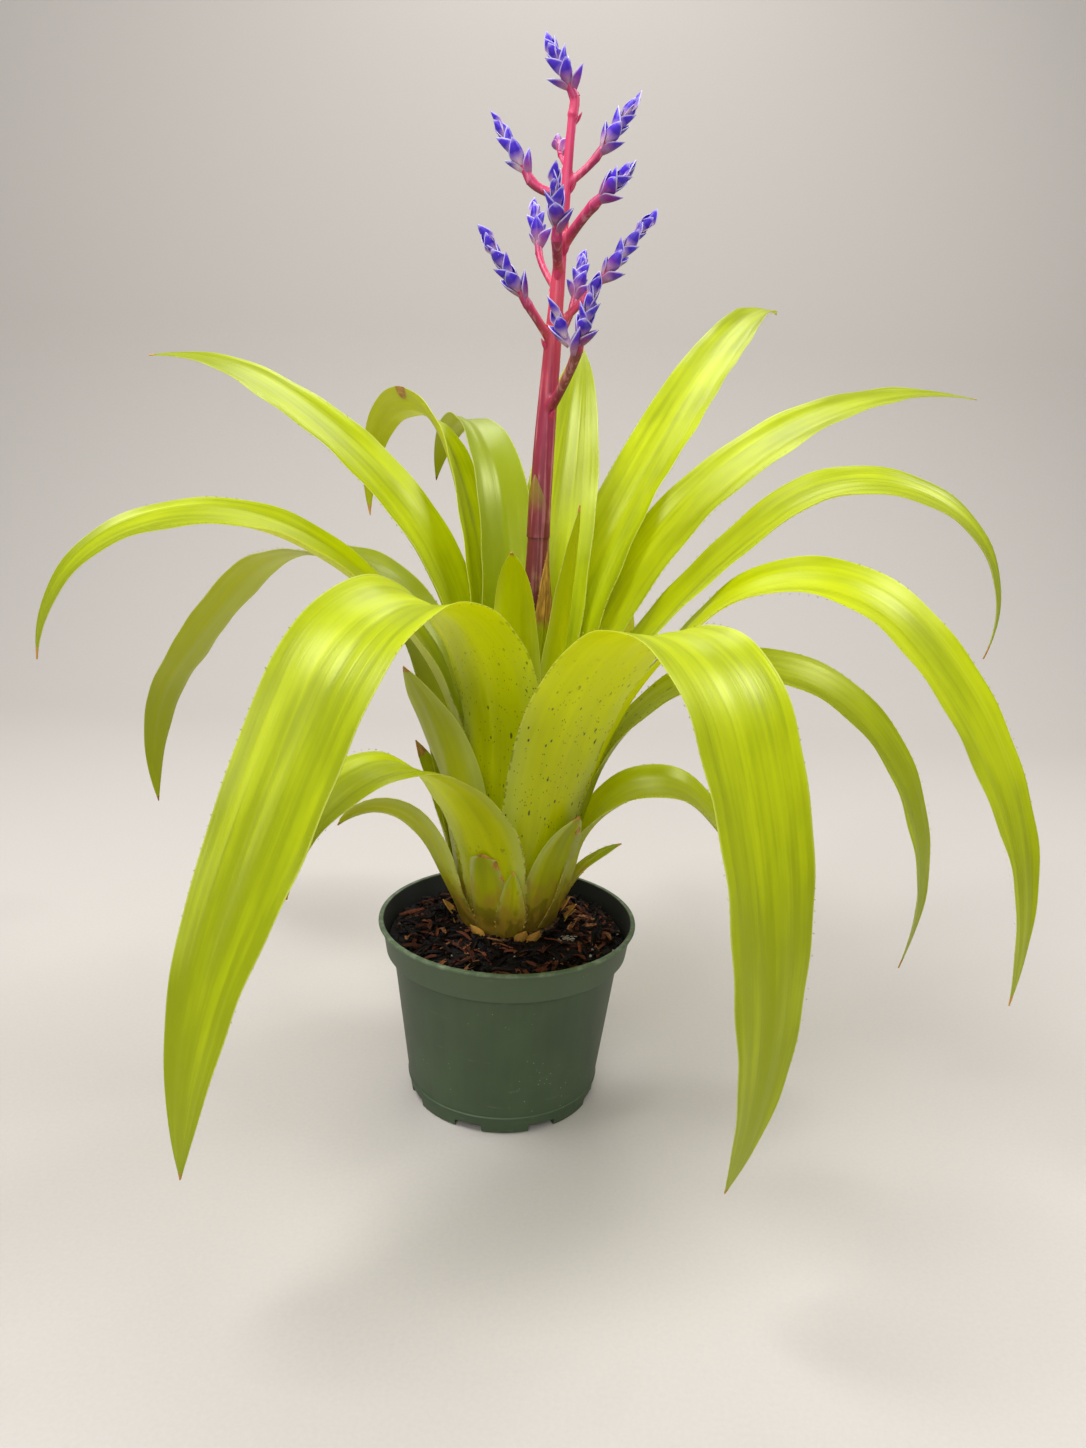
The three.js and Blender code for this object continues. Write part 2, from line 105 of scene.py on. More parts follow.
class Paint:  # one material and the nodes in it
    def __init__(self, name):
        self.material = bpy.data.materials.new(name)
        self.material.use_nodes = True
        self.tree = self.material.node_tree
        self.tree.nodes.clear()

    def node(self, kind, settings=None, inputs=None, out=0):
        made = self.tree.nodes.new(kind)
        for key, value in (settings or {}).items():
            if key == "stops":
                ramp = made.color_ramp.elements
                for place, colour in value[len(ramp):]:
                    ramp.new(place)
                for stop, (place, colour) in zip(ramp, sorted(value)):
                    stop.position, stop.color = place, (*colour, 1)
            else:
                setattr(made, key, value)
        for key, value in (inputs or {}).items():
            socket = made.inputs[key]
            if isinstance(value, Wire):
                self.tree.links.new(value.socket, socket)
            elif socket.type == "RGBA" and len(value) == 3:
                socket.default_value = (*value, 1)
            else:
                socket.default_value = value
        return Wire(self, made.outputs[out]) if made.outputs else made

    def mix(self, mask, first, second):
        return self.node("ShaderNodeMix", {"data_type": "RGBA"}, {0: mask, 6: first, 7: second}, 2)

    def coats(self, colour, *layers):  # each layer is a mask and the colour that it lays on
        for mask, coat in layers:
            colour = self.mix(mask, colour, coat)
        return colour

    def ramp(self, value, stops):
        return self.node("ShaderNodeValToRGB", {"stops": stops}, {0: value})

    def fade(self, value, low, high):  # 0 at low and 1 at high, with soft ends
        ends = {0: value, 1: low, 2: high} if low < high else {0: value, 1: high, 2: low, 3: 1.0, 4: 0.0}
        return self.node("ShaderNodeMapRange", {"interpolation_type": "SMOOTHSTEP"}, ends)

    def stretched(self, place, scale):
        return self.node("ShaderNodeMapping", {}, {"Vector": place, "Scale": scale})

    def noise(self, place, scale, detail):  # a scale of three numbers gives each axis its own
        if isinstance(scale, tuple):
            place, scale = self.stretched(place, scale), 1
        return self.node("ShaderNodeTexNoise", {}, {"Vector": place, "Scale": scale, "Detail": detail})

    def cells(self, place, scale=1.0, out=0):
        return self.node("ShaderNodeTexVoronoi", {}, {"Vector": place, "Scale": scale}, out)

    def attribute(self, name):
        return self.node("ShaderNodeAttribute", {"attribute_name": name}, {}, 2)

    def objectPlace(self):
        return self.node("ShaderNodeTexCoord", {}, {}, 3)

    def part(self, vector, axis):
        return self.node("ShaderNodeSeparateXYZ", {}, {0: vector}, axis)

    def bump(self, height, strength, distance):
        inputs = {"Height": height, "Strength": strength, "Distance": distance * mm}
        return self.node("ShaderNodeBump", {}, inputs)

    def surface(self, glow=None, glowShare=0.0, **inputs):
        names = {key.replace("_", " "): value for key, value in inputs.items()}
        shader = self.node("ShaderNodeBsdfPrincipled", {}, names)
        if glow is not None:
            through = self.node("ShaderNodeBsdfTranslucent", {}, {"Color": glow})
            shader = self.node("ShaderNodeMixShader", {}, {0: glowShare, 1: shader, 2: through})
        self.node("ShaderNodeOutputMaterial", {}, {"Surface": shader})
        return self.material


def clearSelection():
    if bpy.context.object and bpy.context.object.mode != "OBJECT":
        bpy.ops.object.mode_set(mode="OBJECT")
    bpy.ops.object.select_all(action="DESELECT")


def choose(*chosen):
    clearSelection()
    for one in chosen:
        one.select_set(True)
    bpy.context.view_layer.objects.active = chosen[0]


def named(name):
    made = bpy.context.active_object
    made.name = made.data.name = name
    return made


def modify(piece, kind, **settings):
    choose(piece)
    bpy.ops.object.modifier_add(type=kind)
    modifier = piece.modifiers[-1]
    for key, value in settings.items():
        setattr(modifier, key, value)
    bpy.ops.object.modifier_apply(modifier=modifier.name)


def settle(piece):  # the place goes into the mesh
    choose(piece)
    bpy.ops.object.transform_apply(location=True, rotation=True, scale=True)


def soften(piece, angle):
    choose(piece)
    bpy.ops.object.shade_smooth_by_angle(angle=math.radians(angle))


def joinAll(name, parts):
    choose(*parts)
    bpy.ops.object.join()
    whole = named(name)
    settle(whole)
    return whole


def addGrid(name, across, along):  # flat, and from -1 to 1 both ways
    clearSelection()
    bpy.ops.mesh.primitive_grid_add(x_subdivisions=across, y_subdivisions=along, size=2)
    return named(name)


def fillAttribute(piece, name, values):  # one number for each point, or one for all
    points = len(piece.data.vertices)
    layer = piece.data.attributes.get(name) or piece.data.attributes.new(name, "FLOAT", "POINT")
    layer.data.foreach_set("value", [values] * points if isinstance(values, float) else values)


def copies(model, places, **layers):  # each copy has its own mesh, and its own value in each layer
    made = []
    for i, place in enumerate(places):
        one = model.copy()
        one.data = model.data.copy()
        bpy.context.scene.collection.objects.link(one)
        one.matrix_world = place
        for name, values in layers.items():
            fillAttribute(one, name, values[i])
        made.append(one)
    return made


def axes(across, along, outward, place, size=1.0):  # a place whose X, Y and Z are the three directions
    turn = Matrix((across.normalized(), along.normalized(), outward.normalized())).transposed().to_4x4()
    return Matrix.Translation(place) @ turn @ Matrix.Scale(size, 4)


def drawnUp(name, profile, sides):  # a disc drawn up ring by ring; a profile holds radii and heights
    radius, height = profile[0]
    bpy.ops.mesh.primitive_circle_add(vertices=sides, radius=radius * mm, fill_type="NGON",
                                      location=(0, 0, height * mm))
    drawn = named(name)
    settle(drawn)
    bpy.ops.object.mode_set(mode="EDIT")
    bpy.ops.mesh.select_all(action="SELECT")
    for (radiusBefore, heightBefore), (radius, height) in zip(profile, profile[1:]):
        rise, wider = (height - heightBefore) * mm, radius / radiusBefore
        bpy.ops.mesh.extrude_region_move(TRANSFORM_OT_translate={"value": (0, 0, rise)})
        bpy.ops.transform.resize(value=(wider, wider, 1), center_override=(0, 0, height * mm))
    bpy.ops.mesh.select_all(action="SELECT")
    bpy.ops.mesh.normals_make_consistent(inside=False)
    bpy.ops.object.mode_set(mode="OBJECT")
    return drawn


def finishPiece(piece, material, slot, *replaced):
    if material is not None:
        piece.data.materials.clear()
        piece.data.materials.append(material)
    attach(piece, "root")
    if replaced:
        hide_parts(*replaced)


studio = {
    "floor": "bab4ae",
    "floorGrain": "b2aca6",
    "floorSize": 6.0,
    "sweep": 1.5,  # how far back the floor turns up
    "bend": 0.6,
    "wallHeight": 3.0,
    "sky": (0.93, 0.96, 1.0),
    "skyStrength": 0.34,
    "lampAim": (0, 0, 0.3),
    "lamps": [  # place, size and power of the soft boxes
        ((-0.72, -0.35, 1.8), 0.8, 30),
        ((1.05, 0.15, 1.55), 0.6, 17),
        ((-0.2, -1.7, 1.2), 1.2, 17),
        ((0.0, 1.1, 1.8), 1.0, 12),
    ],
}


def addStudio():
    half = studio["floorSize"] / 2
    bpy.ops.mesh.primitive_plane_add(size=studio["floorSize"], location=(0, studio["sweep"] - half, 0))
    floor = named("floor")
    bpy.ops.object.mode_set(mode="EDIT")
    bpy.ops.mesh.select_all(action="DESELECT")
    bpy.ops.object.mode_set(mode="OBJECT")
    for edge in floor.data.edges:  # the far edge is drawn up into a wall
        edge.select = all(floor.data.vertices[i].co.y > 0 for i in edge.vertices)
    bpy.ops.object.mode_set(mode="EDIT")
    bpy.ops.mesh.select_mode(type="EDGE")
    bpy.ops.mesh.extrude_region_move(TRANSFORM_OT_translate={"value": (0, 0, studio["wallHeight"])})
    bpy.ops.object.mode_set(mode="OBJECT")
    settle(floor)
    modify(floor, "BEVEL", width=studio["bend"], segments=16, limit_method="ANGLE")
    soften(floor, 60)
    paint = Paint("studio_floor")
    grain = paint.noise(paint.objectPlace(), 420, 2)
    colour = paint.mix(grain, srgb(studio["floor"]), srgb(studio["floorGrain"]))
    floor.data.materials.append(paint.surface(Base_Color=colour, Roughness=0.85))

    for place, size, power in studio["lamps"]:
        aim = (Vector(studio["lampAim"]) - Vector(place)).to_track_quat("-Z", "Y")
        bpy.ops.object.light_add(type="AREA", location=place, rotation=aim.to_euler())
        lamp = bpy.context.active_object
        lamp.data.shape, lamp.data.size, lamp.data.energy = "DISK", size, power

    world = bpy.data.worlds.new("studio_air")
    bpy.context.scene.world = world
    world.use_nodes = True
    sky = world.node_tree.nodes["Background"]
    sky.inputs["Color"].default_value = (*studio["sky"], 1)
    sky.inputs["Strength"].default_value = studio["skyStrength"]
    bpy.context.scene.view_settings.view_transform = "Standard"  # the default one greys strong colours


clearSelection()
addCamera(cameraView)
addStudio()
print("camera and studio ready")


# leaves

leafFinish = {
    "deep": "6a7600",  # painted shade, laid on the hanging part and on leaves with a low tint
    "olive": "91a200",
    "green": "b3c400",
    "bright": "ccdc00",
    "outer": "e4e000",  # the outer face is a warmer yellow of its own, lightened with painted light, since it faces down and away from the lamps
    "outerDark": "afb300",
    "edge": "e2e68e",
    "base": "b6ac2c",
    "foot": "b8863c",  # worn and tan where the leaf leaves the mix
    "scar": "5a3a18",
    "bloom": "ccd08c",  # pale scurf along the margins of the sheath
    "dry": "d09c40",
    "dryDark": "7e5016",
    "dryDeep": "28110a",
    "speck": "120f04",
    "speckSizes": [(26, 0.9), (44, 0.83), (95, 0.84)],  # how fine, and how many cells stay clear
    "glow": "e7ea00",
    "glowShare": 0.5,
    "sheen": "f9fdb8",
    "sheenLevel": 0.85,
}


def leafPaint():
    paint = Paint("leaf_blade")
    c = colours(leafFinish)
    run = paint.node("ShaderNodeUVMap", {"uv_map": "UVMap"})  # decimetres across and along the blade
    along = paint.part(run, 1)
    veins = paint.noise(run, (105, 1.6, 1), 2)
    streaks = paint.noise(run, (44, 0.9, 1), 3)
    pleats = paint.noise(run, (17, 0.7, 1), 2)
    clouds = paint.noise(run, (4, 1.5, 1), 3)
    worn = paint.noise(run, (11, 7, 1), 4)
    crumbs = paint.noise(run, (36, 12, 1), 3)
    crowd = paint.noise(run, (9, 5, 1), 3)  # keeps the dark specks in patches
    lifted = paint.attribute("lift")  # how far up the blade, 0 to 1
    edge = paint.attribute("edge")
    outer = paint.attribute("outer")  # 1 on the outer face of the blade
    specky = paint.attribute("speck")
    tint = paint.attribute("tint")
    dried = paint.fade(paint.attribute("dry") + (clouds - 0.5) * 0.5, 0.42, 0.58)
    hangingShade = paint.fade(lifted, 0.5, 1.0)  # painted shade, deeper towards the blade's hanging end
    # painted shade: the hanging end, and whole leaves with a low tint, go towards the deep colour and let
    # less light through
    paintedShade = hangingShade * 0.32 - tint
    tone = clouds * 0.8 + pleats * 0.6 + streaks * 0.4 + veins * 0.2 - 0.5 + tint - hangingShade * 0.2
    bloom = paint.fade(edge + clouds * 0.6, 0.8, 1.25) * paint.fade(along, 2.4, 0.8) * 0.55 * outer
    colour = paint.coats(
        paint.ramp(tone, [(0.3, c["olive"]), (0.5, c["green"]), (0.7, c["bright"])]),
        # the outer face: its own warmer yellow, lightened with painted light
        (outer * 0.8, paint.mix(tone, c["outerDark"], c["outer"])),
        # painted shade on the hanging end and on leaves with a low tint
        (paintedShade, c["deep"]),
        (bloom, c["bloom"]),
        (paint.fade(along + clouds * 0.5, 0.85, 0.25) * 0.6, c["base"]),
        (paint.fade(along + worn * 1.1 + streaks * 0.3, 1.2, 0.75) * 0.8, c["foot"]),
        (paint.fade(worn - along * 0.6, 0.36, 0.44) * 0.55, c["scar"]),
        (paint.fade(edge + veins * 0.04, 0.98, 1.01) * 0.4, c["edge"]),
    )
    clear = 1.0
    for size, share in leafFinish["speckSizes"]:
        cell = paint.stretched(run, (size, size * 0.45, 1))
        kept = paint.fade(paint.part(paint.cells(cell, 1, 1), 0) + crowd * 0.5, share + 0.27, share + 0.3)
        spot = paint.fade(paint.cells(cell) + veins * 0.12, 0.36, 0.26) * kept * specky
        colour = paint.mix(spot, colour, c["speck"])
        clear = (1 - spot) * clear
    teeth = paint.fade(paint.cells(paint.stretched(run, (0, 30, 1))), 0.6, 0.42)  # dark feet of the spines
    teeth = teeth * paint.fade(edge, 0.95, 0.98) * paint.fade(lifted, 0.5, 0.3) * outer * 0.8
    brown = paint.ramp(crumbs - tint, [(0.3, c["dry"]), (0.75, c["dryDark"]), (1.0, c["dryDeep"])])
    colour = paint.coats(colour, (teeth, c["speck"]), (dried, brown))
    height = veins * 0.3 + streaks * 0.7 + pleats * 1.4 + crumbs * dried * 0.8
    return paint.surface(
        glow=c["glow"],
        glowShare=(1 - dried) * clear * (1 - paintedShade * 0.6) * leafFinish["glowShare"],
        Base_Color=colour,
        Roughness=0.3 + clouds * 0.14 + dried * 0.35,
        Normal=paint.bump(height, 0.4, 0.5),
        Specular_IOR_Level=leafFinish["sheenLevel"],
        Specular_Tint=c["sheen"],
    )


# Oldest and outermost first. ring and facing place a leaf's base, and turn is how far it swings round towards
# its tip. length and width are its blade's, fold is the half-angle of its channel, roll leans it over, and
# rise is its angle above level from base to tip. Lengths are in millimetres and angles in degrees.
leafSet = table("ring facing turn length width fold roll rise", {
    "leaf_01": (30.7, 210, -23, 129, 37, 24, 38, [70, 65, 66, 50, 4, -52]),
    "leaf_02": (30.2, 347, 34, 250, 50, 27, 16, [67, 80, 31, -45, -60, -69]),
    "leaf_03": (30.5, 92, 0, 322, 44, 24, 0, [68, 66, 45, 0, -45, -70]),
    "leaf_04": (28.4, 308, 6, 94, 34, 24, -3, [69, 72, 72, 70, 62, 54]),
    "leaf_05": (29.9, 260, -47, 276, 48, 17, -4, [69, 66, 48, 28, -36, -89]),
    "leaf_06": (25.6, 356, 6, 476, 45, 29, 36, [75, 74, 23, -38, -74, -107]),
    "leaf_07": (30.5, 154, 0, 114, 28, 26, 0, [76, 74, 72, 70, 64, 50]),
    "leaf_08": (27.4, 294, 13, 561, 63, 18, -1, [75, 70, 39, -63, -85, -110]),
    "leaf_09": (27.2, 74, 0, 470, 48, 24, 0, [71, 70, 40, -15, -55, -80]),
    "leaf_10": (25.9, 147, -6, 622, 52, 25, 2, [71, 83, 16, -39, -45, -101]),
    "leaf_11": (22.1, 253, -26, 569, 60, 26, -20, [82, 88, 30, -56, -64, -88]),
    "leaf_12": (24.2, 339, 8, 579, 53, 18, 35, [76, 72, 43, -43, -69, -96]),
    "leaf_13": (23.4, 178, 26, 462, 48, 31, -19, [79, 89, 54, 26, -22, -87]),
    "leaf_14": (20.8, 4, -11, 503, 48, 27, 23, [78, 78, 53, 39, -30, -110]),
    "leaf_15": (14.8, 136, -19, 494, 36, 34, 42, [84, 88, 80, 49, -13, -107]),
    "leaf_16": (19.4, 31, -2, 556, 54, 24, 13, [80, 80, 54, 33, 13, -5]),
    "leaf_17": (20.8, 169, -9, 468, 52, 24, -16, [85, 89, 75, 44, 28, -5]),
    "leaf_18": (18.1, 45, 24, 624, 46, 33, 9, [80, 83, 49, 38, 24, -3]),
    "leaf_19": (13.1, 106, 10, 432, 40, 31, 6, [86, 87, 88, 66, 10, -74]),
    "leaf_20": (17.0, 64, 22, 396, 54, 27, 0, [84, 85, 75, 69, 60, 34]),
    "leaf_21": (12.2, 268, 0, 255, 36, 36, 0, [81, 82, 87, 84, 70, 30]),
    "leaf_22": (11, 330, 0, 264, 32, 36, 0, [84, 84, 84, 84, 84, 84]),
    "leaf_23": (9.8, 303, 0, 237, 18, 40, 0, [84, 84, 85, 85, 86, 88]),
    "leaf_24": (24.75, 214, 9, 182, 48, 24, 9, [74, 77, 86, 74, 62, 52]),
    "foot_bract_1": (32.6, 274, 0, 66, 12, 9, 0, [61, 64, 68, 70, 68, 62]),
    "foot_bract_2": (31.6, 259, 0, 66, 18, 9, 0, [61, 64, 68, 70, 68, 62]),
    "foot_bract_3": (31.1, 8, 0, 66, 18, 9, 0, [70, 68, 58, 48, 30, 16]),
})

# What sets single leaves apart: a high tint makes the leaf's own green lighter and a low one adds painted
# shade, dry is the length of the tip that has browned, specks is how strong the dark marks on the lower outer
# face are, spots are dried patches (share of the length, side from -1 to 1, size), and shape is what the
# small leaves at the foot have otherwise than above.
leafMarks = table("tint dry specks spots shape", {
    "foot_bract_1": (0.1, 2, 0.0, [],
                     {"ring": 33.8, "width": 20, "length": 58, "taper": 2.2}),
    "foot_bract_2": (-0.1, 5, 0.0, [(0.86, 0.9, 0.12), (0.7, 1.0, 0.09)],
                     {"facing": 256, "width": 23, "length": 70, "fold": 12, "taper": 7, "point": 0.5}),
    "leaf_01": (-0.05, 5),
    "leaf_02": (0.12, 7),
    "leaf_04": (0.0, 7, 0.0, [(0.84, 0.7, 0.09)]),
    "leaf_05": (0.0, 9, 0.4),
    "leaf_06": (-0.03, 14, 1.0),
    "leaf_07": (-0.1, 22),
    "leaf_08": (0.0, 7, 1.0),
    "leaf_10": (-0.3, 9),
    "leaf_11": (-0.04, 7, 0.9),
    "leaf_12": (0.1, 13),
    "leaf_13": (0.0, 14),
    "leaf_14": (0.0, 16),
    "leaf_15": (-0.04, 16, 0.0, [(0.74, 0.9, 0.035)]),
    "leaf_16": (0.03, 9),
    "leaf_17": (0.03, 9),
    "leaf_18": (0.02, 10),
    "leaf_19": (-0.3, 7),
    "leaf_22": (0.0, 9, 0.4),
    "leaf_23": (-0.1, 90),
    "leaf_24": (-0.02, 9, 0.9),
})

bladeCut = {
    "thickness": 0.9,
    "across": 16,  # faces across
    "rowStep": 5.0,
    "seat": 120.0,  # height of the leaf bases
    "sheathTurn": 1.75,  # base width for each millimetre of base radius
    "tipWidth": 0.7,
    "marginThin": 0.33,
    "wave": 1.3,  # height of the ripples along the margins
    "waveLengths": [(5, 8), (13, 19), (30, 45)],  # each ripple's length lies in one of these spans
    "pleat": 0.4,  # height of the lengthwise folds
    "pleats": [((6, 8), 1.0), ((11, 14), 0.5)],  # how many, and their share of the height
    "spineStep": 3.2,
    "spineSize": (0.55, 1.75),  # radius and length
    "spineShrink": 0.6,  # how much smaller spines are at the tip
    "darkSpines": 0.35,  # share of the length, from the base, on which most spines are dark
}


def riseAt(rise, s):
    place = s * (len(rise) - 1)
    step = min(int(place), len(rise) - 2)
    return math.radians(rise[step] + (rise[step + 1] - rise[step]) * (place - step))


def courseAt(leaf, s):
    climb, facing = riseAt(leaf["rise"], s), math.radians(leaf["facing"] + leaf["turn"] * s)
    return Vector((math.cos(climb) * math.cos(facing), math.cos(climb) * math.sin(facing), math.sin(climb)))


def ease(x):
    x = min(max(x, 0), 1)
    return x * x * (3 - 2 * x)


def bladeWidth(leaf, s):
    sheath = min(0.8 * leaf["width"], bladeCut["sheathTurn"] * leaf["ring"])
    side = sheath + (leaf["width"] - sheath) * ease(s / 0.35)
    return max(side * max(1 - s ** leaf.get("taper", 5), 0) ** leaf.get("point", 0.9), bladeCut["tipWidth"])


def bladeRows(leaf):  # centre, directions, bend and half-angle of each cross-section
    count = max(12, round(leaf["length"] / bladeCut["rowStep"]))
    facing = math.radians(leaf["facing"])
    point = Vector((math.cos(facing) * leaf["ring"], math.sin(facing) * leaf["ring"], bladeCut["seat"]))
    rows, parts = [], 3
    for i in range(count + 1):
        s = i / count
        turned = math.radians(leaf["facing"] + leaf["turn"] * s)
        along = courseAt(leaf, s)
        side = Vector((-math.sin(turned), math.cos(turned), 0))
        roll = math.radians(leaf["roll"]) * ease((s - 0.2) / 0.6)
        across = side * math.cos(roll) + along.cross(side) * math.sin(roll)
        inward = along.cross(across)
        bend = min(math.hypot(point.x, point.y), leaf["width"] / 2 / math.radians(leaf["fold"]))
        rows.append({"along": along, "across": across, "inward": inward, "bend": bend,
                     "half": bladeWidth(leaf, s) / 2 / bend, "centre": point + inward * bend})
        for j in range(parts):
            between = min(1, (i + (j + 0.5) / parts) / count)
            point = point + courseAt(leaf, between) * (leaf["length"] / count / parts)
    return rows


def bladePoint(row, q, wave=0.0):  # q runs from -1 to 1 across the blade
    angle = row["half"] * q
    outward = row["across"] * math.sin(angle) - row["inward"] * math.cos(angle)
    return row["centre"] + outward * (row["bend"] + wave), outward


def makeSpine():
    radius, length = bladeCut["spineSize"]
    bpy.ops.mesh.primitive_cone_add(vertices=4, radius1=radius * mm, radius2=0, depth=length * mm,
                                    location=(0, 0, length * mm * 0.35))
    spine = named("leaf_spine")
    settle(spine)
    values = {"dry": 0.0, "edge": 0.9, "lift": 0.5, "speck": 0.0, "tint": 0.0, "outer": 1.0}
    for name, value in values.items():
        fillAttribute(spine, name, value)
    return spine


def brownAt(leaf, marks, q, s):  # 1 on the dry tip and in the middle of a dried patch
    tip = marks.get("dry", 7)
    brown = ease((s * leaf["length"] - leaf["length"] + tip) / tip)
    for place, side, size in marks.get("spots", []):
        away = math.hypot((s - place) * leaf["length"], (q - side) * leaf["width"] / 2)
        brown = max(brown, 1 - away / (size * leaf["length"]))
    return max(0.0, brown)


def makeBlade(name, leaf, marks, number, rows, draw):
    count = len(rows) - 1
    blade = addGrid(name + "_blade", bladeCut["across"], count)
    waves = [(draw.uniform(*span), draw.uniform(0, 6)) for span in bladeCut["waveLengths"]]
    pleats = [(draw.uniform(*span), draw.uniform(0, 6), share) for span, share in bladeCut["pleats"]]
    layers = {"lift": [], "edge": [], "dry": [], "speck": []}
    for vertex in blade.data.vertices:
        q, s = vertex.co.x, (vertex.co.y + 1) / 2
        reach = s * leaf["length"]
        wave = sum(math.sin(reach / length + shift) * length ** 0.5 for length, shift in waves) / 8
        wave *= bladeCut["wave"] * abs(q) ** 3
        for bends, shift, share in pleats:
            wave += bladeCut["pleat"] * share * math.sin(q * bends + shift + math.sin(reach / 130 + shift))
        wave = wave * ease(s * 4) * ease((1 - s) * 6)  # flat at the base and at the tip
        vertex.co = bladePoint(rows[round(s * count)], q, wave)[0] * mm
        layers["lift"].append(s)
        layers["edge"].append(abs(q))
        layers["dry"].append(brownAt(leaf, marks, q, s))
        layers["speck"].append(marks.get("specks", 0.0) * ease((s - 0.08) * 12) * ease((0.45 - s) * 5))
    for spot in blade.data.uv_layers["UVMap"].data:  # each leaf has its own stretch of the pattern
        q, s = spot.uv.x * 2 - 1, spot.uv.y
        spot.uv = (q * leaf["width"] / 200 + number * 3.7, s * leaf["length"] / 100)
    for label, values in layers.items():
        fillAttribute(blade, label, values)
    fillAttribute(blade, "tint", marks.get("tint", 0.0))
    modify(blade, "SOLIDIFY", thickness=bladeCut["thickness"] * mm, offset=0)
    oneFace = len(layers["edge"])  # Solidify adds the inner face after the outer one
    for i, side in enumerate(layers["edge"]):
        near, far = blade.data.vertices[i], blade.data.vertices[i + oneFace]
        thinner = (near.co - far.co) * bladeCut["marginThin"] * side ** 3
        near.co, far.co = near.co - thinner, far.co + thinner
    fillAttribute(blade, "outer", [1.0] * oneFace + [0.0] * (len(blade.data.vertices) - oneFace))
    return blade


def makeLeaf(name, leaf, number, spine):
    marks = leafMarks.get(name, {})
    leaf = {**leaf, **marks.get("shape", {})}
    draw = random.Random(number)
    rows = bladeRows(leaf)
    count = len(rows) - 1
    blade = makeBlade(name, leaf, marks, number, rows, draw)

    places, browned, reach = [], [], 10.0
    while reach < leaf["length"] * 0.97:
        for q in (-1, 1):
            row = rows[min(round((reach + draw.uniform(-1.5, 1.5)) / leaf["length"] * count), count)]
            point, outward = bladePoint(row, q)
            edgeWay = row["across"] * q * math.cos(row["half"]) + row["inward"] * math.sin(row["half"])
            leanTo = (edgeWay.normalized() + row["along"] * 0.55).normalized()
            size = draw.uniform(0.5, 1.05) * (1 - bladeCut["spineShrink"] * reach / leaf["length"])
            places.append(axes(leanTo.cross(outward), outward, leanTo, point * mm, size))
            dark = reach < leaf["length"] * bladeCut["darkSpines"] and draw.random() < 0.7
            browned.append(0.9 if dark else 0.0)
        reach += bladeCut["spineStep"] * draw.uniform(0.6, 1.5)
    return joinAll(name + "_blade", [blade, *copies(spine, places, dry=browned)])


leafMaterial = leafPaint()
clearSelection()
spineModel = makeSpine()
for number, (name, leaf) in enumerate(leafSet.items()):
    blade = makeLeaf(name, leaf, number, spineModel)
    soften(blade, 35)
    finishPiece(blade, leafMaterial, "leaf_blade", name)
bpy.data.objects.remove(spineModel)
print("leaves made:", len(leafSet))


# pot

potShape = {
    "sides": 128,
    "profile": [  # radius and height, up the outside and down the inside
        (59.4, 0.0), (60.4, 0.8), (61.6, 10.4), (62.5, 11.0), (62.6, 11.7), (62.0, 12.4),
        (72.7, 97.6), (73.4, 98.6), (76.6, 99.0), (77.4, 100.0), (79.9, 116.6), (80.9, 117.5),
        (82.1, 117.7), (82.5, 118.3), (82.3, 119.3), (81.6, 119.7), (79.6, 119.6), (79.0, 118.9),
        (75.9, 101.8), (74.9, 100.4), (71.6, 99.4), (71.0, 98.0), (58.9, 3.4), (57.9, 2.4),
    ],
    "notches": 8,
    "notchSize": (12, 18, 10),
    "firstNotch": 252,  # in degrees, as seen from above
}
potFinish = {
    "green": "3f5134",
    "deep": "33442a",
    "band": "56684a",
    # near black, for the painted shade on the inner wall and the painted shadow under the band
    "inside": "0b0e09",
    "dust": "8c967c",
    "scuff": "768468",
    "dots": "a9b09a",
}


def makePot():
    pot = drawnUp("pot_shell", potShape["profile"], potShape["sides"])
    radius = potShape["profile"][0][0]
    for i in range(potShape["notches"]):
        around = math.radians(potShape["firstNotch"] + 360 / potShape["notches"] * i)
        spot = (math.cos(around) * radius * mm, math.sin(around) * radius * mm, 0)
        clearSelection()
        bpy.ops.mesh.primitive_cube_add(size=mm, location=spot, rotation=(0, 0, around))
        cutter = named("notch")
        cutter.scale = potShape["notchSize"]
        settle(cutter)
        modify(cutter, "BEVEL", width=0.9 * mm, segments=2)
        modify(pot, "BOOLEAN", operation="DIFFERENCE", solver="EXACT", object=cutter)
        bpy.data.objects.remove(cutter)
    soften(pot, 42)
    return pot


